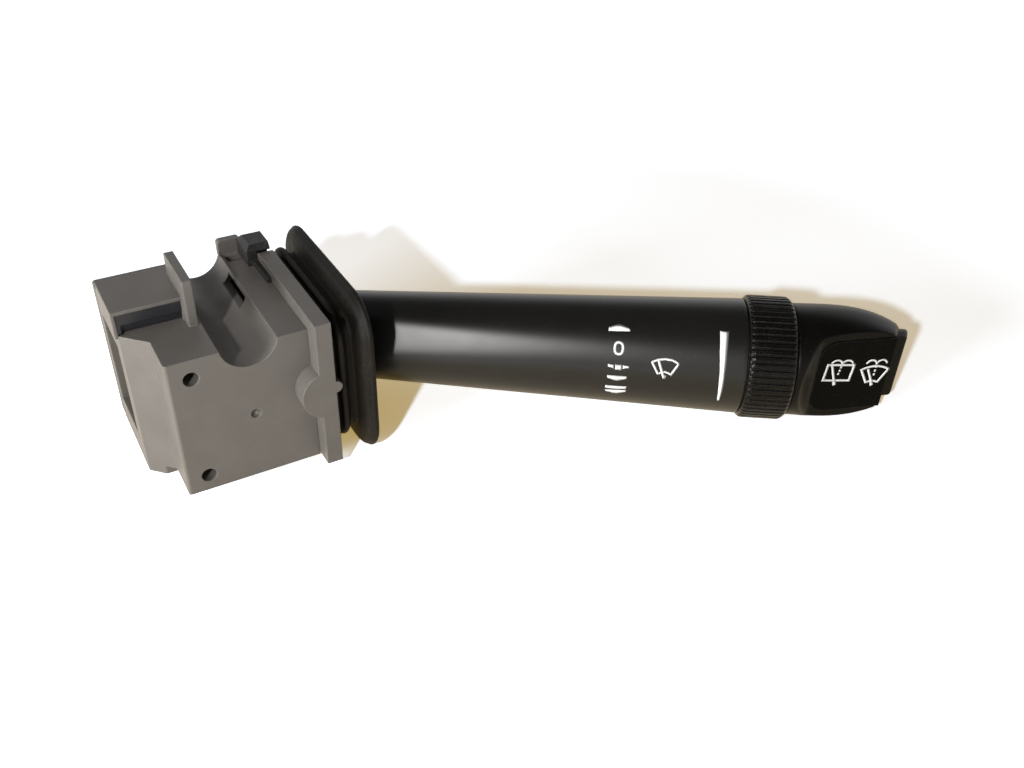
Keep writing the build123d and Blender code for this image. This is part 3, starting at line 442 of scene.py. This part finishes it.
def makeSeal():
    # outlines in turn: neck, half-round inner lip, groove, outer lip, front face, and back down the opening
    x0 = seal["start"]
    x1 = x0 + seal["sleeve"]
    x2 = x1 + seal["innerLip"]
    x3 = x2 + seal["groove"]
    x4 = x3 + seal["outerLip"]
    neck, outer, opening = seal["neck"], seal["outer"], seal["opening"]
    centre, holeCentre = np.array(seal["centre"]), np.array(seal["openingCentre"])
    fillet, rim = seal["fillet"], seal["rim"]
    rows = []

    def addRow(x, size, grow, middle=centre):
        # the outline at distance x, grown outwards all round
        height, width, corner = size
        corner = max(corner + grow, seal["leastCorner"])
        path = roundedPath(height + 2 * grow, width + 2 * grow, corner) + middle
        rows.append(np.column_stack([np.full(len(path), x), path]))

    addRow(x0, opening, 0.0, holeCentre)
    addRow(x0, neck, -seal["edge"])
    addRow(x0 + seal["edge"], neck, 0.0)
    addRow(x1 - seal["rootFillet"], neck, 0.0)
    addRow(x1, neck, seal["rootFillet"])
    lip = (x2 - x1) / 2
    for turn in np.radians(np.linspace(-90, 90, seal["lipRows"])):
        addRow((x1 + x2) / 2 + lip * np.sin(turn), seal["inner"], lip * (np.cos(turn) - 1))
    addRow(x2, neck, fillet)
    addRow(x2 + fillet, neck, 0.0)
    for t in np.linspace(*seal["grooveSpan"]):
        addRow(x2 + fillet + (seal["groove"] - 2 * fillet) * t, neck, 0.0)
    addRow(x3 - fillet, neck, 0.0)
    addRow(x3, neck, fillet)
    for t in np.linspace(*seal["backSpan"]):  # sloping back of the outer lip
        drop = seal["backDrop"] * (1 - t) ** seal["backDropCurve"] + seal["backInset"] * t
        addRow(x3 + seal["backRun"] * t ** seal["backRunCurve"], outer, -drop)
    for turn in np.radians(np.linspace(*seal["rimSpan"])):  # rounded rim
        reach = rim * (1.0 if turn > 0 else seal["rimUnder"])
        addRow(x4 - rim - seal["rimBack"] + reach * np.sin(turn), outer, rim * (np.cos(turn) - 1))
    for x, grow in seal["front"]:  # a thin bead, then the flat face
        addRow(x4 + x, outer, grow)
    for x, grow in seal["mouth"]:
        addRow(x4 + x, opening, grow, holeCentre)
    for x in np.linspace(x4 - seal["openingFrom"], x0 + seal["openingTo"], seal["openingRows"]):
        addRow(x, opening, 0.0, holeCentre)
    grid = (fromHousing(np.array(rows)), True, True)
    finish = finishes["seal_rubber"]
    return makePiece("columnSealRubber", [grid], "housing", finish, seal["sharp"])


sealSkin = makeSeal()
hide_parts("column_seal")
print("column seal made")

# The icon panel: a plane that starts at its root edge and slopes in to the lever's line.
panel = {"root": 121.5, "distance": 7.6, "slope": 14.0}

# The head: a squared round that closes in to the end, scooped on the driver's side for the icon panel.
head = {"start": 116.2, "length": 23.5, "rootDiameter": 25.4, "tipHeight": 18.6, "tipDepth": 15.6,
        "squareness": 2.7, "fallPower": 3.5, "squarePower": 1.5, "boreRadius": 10.53, "endSlant": 18.0,
        "endChamfer": 1.0, "endSteps": (0.25, 0.5, 0.75, 1.0), "rim": 1.1, "rimCurve": 0.55, "rimSlope": 0.45,
        "rimDepth": 0.25, "rimRound": 0.07, "lip": 0.3, "lipInset": 0.03, "well": 4.8, "wellInset": 0.05,
        "wall": 2.0, "floor": 1.8, "sink": 0.28, "rampStart": 121.1, "ramp": 1.35, "scoopBlend": 0.45,
        "sideBlend": 0.27, "endRounds": 12, "columns": 240, "rows": 72, "innerRows": 10, "sharp": 34}


def headScoop(along):
    # smooth greatest of the panel's plane, a little sunk, and the ramp behind it
    fall = math.tan(math.radians(panel["slope"])) * (along - panel["root"])
    plane = panel["distance"] - fall - head["sink"]
    ramp = panel["distance"] + head["ramp"] * (head["rampStart"] - along)
    k = head["scoopBlend"]
    return k * np.logaddexp(plane / k, ramp / k)


def headOutline(angle, along):
    # |up / a|^n + |out / b|^n = 1 in polar form, its outer side held under the scoop by a smooth least
    t = np.abs(along - head["start"]) / head["length"]
    fall = t ** head["fallPower"]
    a = (head["rootDiameter"] - (head["rootDiameter"] - head["tipHeight"]) * fall) / 2
    b = (head["rootDiameter"] - (head["rootDiameter"] - head["tipDepth"]) * fall) / 2
    n = 2 + (head["squareness"] - 2) * t ** head["squarePower"]
    reach = (np.abs(np.sin(angle) / a) ** n + np.abs(np.cos(angle) / b) ** n) ** (-1 / n)
    k = head["sideBlend"]
    out = -k * np.logaddexp(-reach * np.cos(angle) / k, -headScoop(along) / k)
    return reach * np.sin(angle), out


def headRow(angle, along, inset):
    # the outline moved in towards the lever's line
    up, out = headOutline(angle, along)
    share = 1 - inset / np.maximum(np.hypot(up, out), 1.0)
    return fromLever(up * share, out * share, along)


def headEnd(angle, back):
    # where the outline meets the slanted end face, moved back, found by repeating
    slant = math.tan(math.radians(head["endSlant"]))
    tip = head["start"] + head["length"]
    along = np.full_like(angle, tip)
    for _ in range(head["endRounds"]):
        along = tip - slant * headOutline(angle, along)[1] - back
    return along


def makeHead():
    # outlines in turn: root face, outer skin, rounded end edge, the button's well, and back along the inside
    angle = np.linspace(0, 2 * np.pi, head["columns"], endpoint=False)
    start = np.full_like(angle, head["start"])
    end = headEnd(angle, head["endChamfer"])
    well, rim, chamfer = end - head["well"], head["rim"], head["endChamfer"]
    rows = [leverRing(angle, head["boreRadius"], start), headRow(angle, start, head["rimDepth"]),
            headRow(angle, start + head["rimRound"], head["rimRound"])]
    for t in np.linspace(0, 1, head["rows"]):
        rows.append(headRow(angle, start + head["rimDepth"] + (end - start - head["rimDepth"]) * t, 0.0))
    for t in head["endSteps"]:
        turn = t * math.pi / 2
        inset = rim * (1 - math.cos(turn)) * head["rimCurve"] + rim * head["rimSlope"] * t
        rows.append(headRow(angle, end + chamfer * math.sin(turn), inset))
    rows.append(headRow(angle, end + chamfer - head["lip"], rim + head["lipInset"]))
    rows.append(headRow(angle, well, rim + head["wellInset"]))
    rows.append(headRow(angle, well, head["wall"]))
    inner = head["start"] + head["floor"]
    for t in np.linspace(0, 1, head["innerRows"]):
        rows.append(headRow(angle, well + (inner - well) * t, head["wall"]))
    rows.append(leverRing(angle, head["boreRadius"], start + head["floor"]))
    grid = (np.array(rows), True, True)
    return makePiece("headShellSkin", [grid], "lever", finishes["headBlack"], head["sharp"])


headSkin = makeHead()
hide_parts("head_shell")
print("head made")

# Printed marks: strips and strokes in flat mm, laid on the tube or the panel as a thin raised film.
prints = {"lift": 0.035, "apart": 0.002, "thickness": 0.06, "across": 4, "along": 26, "short": 6, "sharp": 60}


def spread(points, count):
    # points at even shares of a broken line's length
    p = np.asarray(points, float)
    steps = np.concatenate([[0], np.cumsum(np.hypot(*np.diff(p, axis=0).T))])
    t = np.linspace(0, steps[-1], count)
    return np.stack([np.interp(t, steps, p[:, 0]), np.interp(t, steps, p[:, 1])], -1)


def strip(edgeA, edgeB, count=prints["along"]):
    # straight blend between two edges
    a, b = spread(edgeA, count), spread(edgeB, count)
    t = np.linspace(0, 1, prints["across"])[None, :, None]
    return a[:, None] * (1 - t) + b[:, None] * t


def stroke(points, width, count=prints["along"], closed=False):
    # a line moved half its width to both sides along its own normal
    p = spread(points, count)
    if closed:
        p = p[:-1]
        along = np.roll(p, -1, 0) - np.roll(p, 1, 0)
    else:
        along = np.gradient(p, axis=0)
    normal = np.stack([-along[:, 1], along[:, 0]], -1)
    normal /= np.linalg.norm(normal, axis=1, keepdims=True)
    t = np.linspace(-0.5, 0.5, prints["across"])[None, :, None] * width
    return p[:, None] + normal[:, None] * t


def arc(centre, radius, fromDegrees, toDegrees, squash=1.0, count=24):
    # points on a circle, its height scaled by squash
    turn = np.radians(np.linspace(fromDegrees, toDegrees, count))
    return np.stack([centre[0] + radius * np.cos(turn), centre[1] + radius * squash * np.sin(turn)], -1)


def onTube(flat, lift):
    # flat: (along, arc length up from the driver's side); the arc length over the radius is the angle
    along, arcLength = flat[..., 0], flat[..., 1]
    return tubePoint(arcLength / tubeRadius(along), along, lift)


def onPanel(flat, lift):
    # flat: (distance from the root edge, up); the plane runs on by cos and in by sin of its slope
    c, s = math.cos(math.radians(panel["slope"])), math.sin(math.radians(panel["slope"]))
    away, up = flat[..., 0], flat[..., 1]
    return fromLever(up, panel["distance"] - s * away + c * lift, panel["root"] + c * away + s * lift)


def makePrint(name, shapes, place, outward):
    # shapes: (grid of flat points, closed); each lies a hair above the last so that none lies in another
    lifts = [prints["lift"] + prints["apart"] * i for i in range(len(shapes))]
    grids = [(place(flat, lift), closed, False) for lift, (flat, closed) in zip(lifts, shapes)]
    piece = makePiece(name, grids, "lever", printWhite, prints["sharp"], outward)
    solid = piece.modifiers.new("thickness", "SOLIDIFY")
    solid.thickness = prints["thickness"] / 1000
    solid.offset = -1


def awayFromTube(point):
    # from the lever's line to the point
    line = fromLever(0.0, 0.0, np.array([0.0, 100.0]))
    way = (line[1] - line[0]) / np.linalg.norm(line[1] - line[0])
    return point - line[0] - way * ((point - line[0]) @ way)


def outOfPanel(point):
    # the panel's normal, the same at every point
    c, s = math.cos(math.radians(panel["slope"])), math.sin(math.radians(panel["slope"]))
    base, tip = fromLever(0.0, np.array([0.0, c]), np.array([0.0, s]))
    return tip - base


# The column of switch positions: a half moon, a zero, a row of three dashes and three bars bowed below.
levels = {
    "moon": ([(74.95, 10.85), (77.3, 10.95), (79.65, 11.12)],
             [(75.0, 11.75), (76.2, 12.3), (77.0, 12.6), (77.45, 12.62), (78.3, 12.35), (79.4, 11.85),
              (79.65, 11.5)]),
    "zero": {"centre": (77.4, 7.2), "half": (0.88, 1.30), "power": 0.8, "line": 0.6, "count": 61},
    "dashes": [([(75.2, 3.5), (76.6, 3.42)], [(75.25, 2.95), (76.6, 2.55)]),
               ([(76.85, 3.5), (78.3, 3.55)], [(76.85, 2.32), (78.3, 2.3)]),
               ([(78.5, 3.5), (79.9, 3.35)], [(78.5, 2.6), (79.9, 2.95)])],
    "bars": [([(75.25, 0.85), (79.65, 0.85)], [(75.35, 0.15), (77.0, -0.38), (77.6, -0.42), (79.5, 0.2)]),
             ([(75.05, -2.02), (79.8, -1.98)], [(75.2, -2.85), (77.4, -3.05), (79.7, -2.75)]),
             ([(75.15, -3.45), (79.8, -3.2)], [(75.3, -4.0), (77.2, -4.55), (77.8, -4.55), (79.7, -3.75)])],
}


def zeroLine():
    # an upright oval: sign and power of the cosine and the sine
    zero = levels["zero"]
    turn = np.radians(np.linspace(0, 360, zero["count"]))
    circle = np.stack([np.cos(turn), np.sin(turn)], -1)
    oval = np.sign(circle) * np.abs(circle) ** zero["power"]
    return np.array(zero["centre"]) + np.array(zero["half"]) * oval


levelShapes = [(strip(*levels["moon"]), False),
               (stroke(zeroLine(), levels["zero"]["line"], levels["zero"]["count"], True), True)]
levelShapes += [(strip(*edges, prints["short"]), False) for edges in levels["dashes"]]
levelShapes += [(strip(*edges), False) for edges in levels["bars"]]
makePrint("levelMarks", levelShapes, onTube, awayFromTube)

# The wiper pictogram: a fan of two bows and two sides, an arm across it and the arm's foot.
fan = {"top": [(84.75, 4.75), (86.12, 5.35), (87.63, 5.62), (89.2, 5.45), (90.55, 4.78)],
       "low": [(86.25, 2.08), (86.9, 2.52), (87.65, 2.72), (88.4, 2.52), (89.0, 2.15)],
       "sides": ([(84.72, 4.85), (86.3, 1.98)], [(90.6, 4.9), (88.98, 2.0)]),
       "arm": [(86.15, 5.2), (87.62, 1.15)],
       "foot": ([(87.2, 1.9), (88.05, 1.9)], [(87.28, 1.05), (87.98, 1.05)]),
       "line": 0.5, "lowLine": 0.45, "armLine": 0.55, "sideCount": 8, "armCount": 10}
fanShapes = [(stroke(fan["top"], fan["line"]), False), (stroke(fan["low"], fan["lowLine"]), False)]
fanShapes += [(stroke(side, fan["line"], fan["sideCount"]), False) for side in fan["sides"]]
fanShapes += [(stroke(fan["arm"], fan["armLine"], fan["armCount"]), False),
              (strip(*fan["foot"], prints["short"]), False)]
makePrint("wiperMark", fanShapes, onTube, awayFromTube)

# The long bar beside the thumb ring, which tapers to its lower end.
bar = {"rear": [(99.02, 12.8), (99.12, 7.7), (99.45, 3.8), (99.6, 0.3), (99.95, -4.1)],
       "front": [(100.95, 12.8), (100.72, 8.8), (100.6, 3.5), (100.6, -0.55), (100.45, -4.2)], "count": 60}
makePrint("ringBar", [(strip(bar["rear"], bar["front"], bar["count"]), False)], onTube, awayFromTube)

# The two washer pictograms: (middle, tilt) of each, its lines about its own middle.
icons = {"line": 0.58, "thinShare": 0.8, "footShare": 1.4, "rear": ((5.4, 1.16), -5.6),
         "front": ((14.05, 0.0), -3.0)}
wide, thin, foot = icons["line"], icons["line"] * icons["thinShare"], icons["line"] * icons["footShare"]
rearLines = [
    ([(-3.45, 2.05), (3.45, 2.05)], wide), ([(3.2, 2.3), (3.2, -2.35)], wide),
    ([(3.45, -2.1), (-3.45, -2.1)], wide), ([(-3.2, -2.35), (-3.2, 2.3)], wide),
    ([(-2.1, 1.75), (-0.35, -2.4)], wide), ([(-0.35, -2.2), (0.0, -3.4)], foot),
    (arc((-1.15, 2.2), 1.3, 165, 8, 0.85), thin), (arc((1.45, 2.2), 1.3, 172, 15, 0.85), thin),
    ([(0.15, 1.75), (0.12, 1.2)], thin), ([(0.1, 0.85), (0.06, 0.3)], thin),
    ([(0.04, -0.05), (0.0, -0.6)], thin),
]
frontLines = [
    (arc((0.0, -4.4), 6.5, 121, 59), wide), (arc((0.2, -4.2), 2.3, 125, 55), wide),
    ([(-3.4, 1.35), (-1.1, -2.45)], wide), ([(3.4, 1.35), (1.55, -2.45)], wide),
    ([(-1.7, 1.35), (0.2, -2.3)], wide), ([(0.1, -2.1), (0.45, -3.2)], foot),
    (arc((-1.25, 2.5), 1.25, 165, 5), thin), (arc((1.25, 2.5), 1.25, 175, 15), thin),
    ([(0.1, 2.2), (0.1, 1.7)], thin), ([(0.12, 1.2), (0.14, 0.6)], thin), ([(0.16, 0.2), (0.2, -0.4)], thin),
]


def iconStrokes(middle, tilt, lines):
    # each line is turned by the tilt about the icon's middle
    c, s = math.cos(math.radians(tilt)), math.sin(math.radians(tilt))
    turn = np.array([[c, s], [-s, c]])
    placed = [(np.asarray(line, float) @ turn + np.array(middle), width) for line, width in lines]
    return [(stroke(line, width), False) for line, width in placed]


makePrint("rearWashIcon", iconStrokes(*icons["rear"], rearLines), onPanel, outOfPanel)
makePrint("frontWashIcon", iconStrokes(*icons["front"], frontLines), onPanel, outOfPanel)
print("printed marks made")

# Floor, light and camera, in metres and watts.
# the floor's beige glow near the switch is a painted warm tint for its shadows
studio = {"floorSize": 3.0, "floorColour": (0.90, 0.90, 0.89), "seenColour": (1.35, 1.65, 2.15),
          "paintedShadeTintNear": (0.40, 0.27, 0.06), "glowFar": (0.95, 0.95, 0.94), "paintedShadeTintReach": (0.13, 0.32),
          "fill": 0.15, "horizon": (0.30, 0.62), "keyPlace": (-0.292, -0.269, 0.262), "keyRadius": 0.011,
          "keyPower": 5.7, "keyColour": (1.0, 0.985, 0.96), "windowPlace": (-0.62, -0.06, 0.14),
          "windowSize": (0.30, 0.30), "windowPower": 4.2, "windowAim": (-0.06, 0.0, 0.02)}
view = {"location": (-0.08848133, -0.16467137, 0.15395322), "lens": 35.556, "sensor": 36.0, "clipStart": 0.01,
        "right": (0.86476027, -0.50079335, -0.03735895), "up": (0.33447258, 0.51887326, 0.78670111),
        "ahead": (0.37459012, 0.69280341, -0.61620262)}


def makeFloor():
    # one square at height zero, its middle under the switch
    half = studio["floorSize"] / 2
    corners = [(-half, -half, 0), (half, -half, 0), (half, half, 0), (-half, half, 0)]
    mesh = bpy.data.meshes.new("studioFloor")
    mesh.from_pydata(corners, [], [(0, 1, 2, 3)])
    floor = addToScene("studioFloor", mesh)
    material = bpy.data.materials.new("studioPaper")
    material.use_nodes = True
    tree = material.node_tree
    tree.nodes.clear()
    output = tree.nodes.new("ShaderNodeOutputMaterial")
    paper = tree.nodes.new("ShaderNodeBsdfDiffuse")
    glow = tree.nodes.new("ShaderNodeEmission")
    coords = tree.nodes.new("ShaderNodeTexCoord").outputs["Object"]
    away = addNode(tree, "ShaderNodeVectorMath", operation="LENGTH")
    tree.links.new(coords, away.inputs[0])
    # the floor glows beige near the switch, a painted warm tint for its shadows, and evenly pale further out
    far = addRange(tree, away.outputs["Value"], *studio["paintedShadeTintReach"], 0.0, 1.0)
    tree.links.new(addMix(tree, far, studio["paintedShadeTintNear"], studio["glowFar"]), glow.inputs["Color"])
    rays = tree.nodes.new("ShaderNodeLightPath").outputs
    seen = addMath(tree, "MAXIMUM", rays["Is Camera Ray"], rays["Is Glossy Ray"])
    seen = addMath(tree, "MAXIMUM", seen, rays["Is Transmission Ray"])
    tree.links.new(seen, glow.inputs["Strength"])
    # the paper is overexposed to the camera alone, so that only its shadows keep the painted beige tint
    shown = addMix(tree, rays["Is Camera Ray"], studio["floorColour"], studio["seenColour"])
    tree.links.new(shown, paper.inputs["Color"])
    both = tree.nodes.new("ShaderNodeAddShader")
    tree.links.new(paper.outputs[0], both.inputs[0])
    tree.links.new(glow.outputs[0], both.inputs[1])
    tree.links.new(both.outputs[0], output.inputs[0])
    mesh.materials.append(material)


def makeWorld():
    # white to the camera, white near the horizon and dim above to gloss, and the fill to all else
    world = bpy.data.worlds.new("studioWorld")
    world.use_nodes = True
    bpy.context.scene.world = world
    tree = world.node_tree
    tree.nodes.clear()
    output = tree.nodes.new("ShaderNodeOutputWorld")
    backdrop = addNode(tree, "ShaderNodeBackground", inputs={"Color": (1.0, 1.0, 1.0, 1.0)})
    rays = tree.nodes.new("ShaderNodeLightPath").outputs
    heading = addNode(tree, "ShaderNodeSeparateXYZ")
    tree.links.new(tree.nodes.new("ShaderNodeTexCoord").outputs["Generated"], heading.inputs[0])
    backdropShare = addRange(tree, heading.outputs["Z"], *studio["horizon"], 1.0, 0.0)
    gloss = addMath(tree, "MAXIMUM", rays["Is Glossy Ray"], rays["Is Transmission Ray"])
    seen = addMath(tree, "MAXIMUM", rays["Is Camera Ray"], addMath(tree, "MULTIPLY", gloss, backdropShare))
    tree.links.new(addRange(tree, seen, 0.0, 1.0, studio["fill"], 1.0), backdrop.inputs["Strength"])
    tree.links.new(backdrop.outputs[0], output.inputs[0])


def makeLights():
    # a small key lamp above the housing on the driver's side, and a window beyond the housing's end
    lamp = bpy.data.lights.new("keyLamp", "POINT")
    lamp.energy = studio["keyPower"]
    lamp.shadow_soft_size = studio["keyRadius"]
    lamp.color = studio["keyColour"]
    addToScene("keyLamp", lamp).location = studio["keyPlace"]
    window = bpy.data.lights.new("windowLight", "AREA")
    window.shape = "RECTANGLE"
    window.size, window.size_y = studio["windowSize"]
    window.energy = studio["windowPower"]
    windowObject = addToScene("windowLight", window)
    windowObject.location = studio["windowPlace"]
    toSwitch = Vector(studio["windowAim"]) - windowObject.location
    windowObject.rotation_euler = toSwitch.to_track_quat("-Z", "Y").to_euler()


def makeCamera():
    # the columns of its turn are right, up and back
    data = bpy.data.cameras.new("studioCamera")
    data.sensor_width = view["sensor"]
    data.lens = view["lens"]
    data.clip_start = view["clipStart"]
    camera = addToScene("studioCamera", data)
    right, up, ahead = (Vector(view[way]) for way in ("right", "up", "ahead"))
    turn = Matrix((right, up, -ahead)).transposed().to_4x4()
    camera.matrix_world = Matrix.Translation(Vector(view["location"])) @ turn
    bpy.context.scene.camera = camera


makeFloor()
makeWorld()
makeLights()
makeCamera()
bpy.context.scene.view_settings.view_transform = "Standard"
print("studio ready")
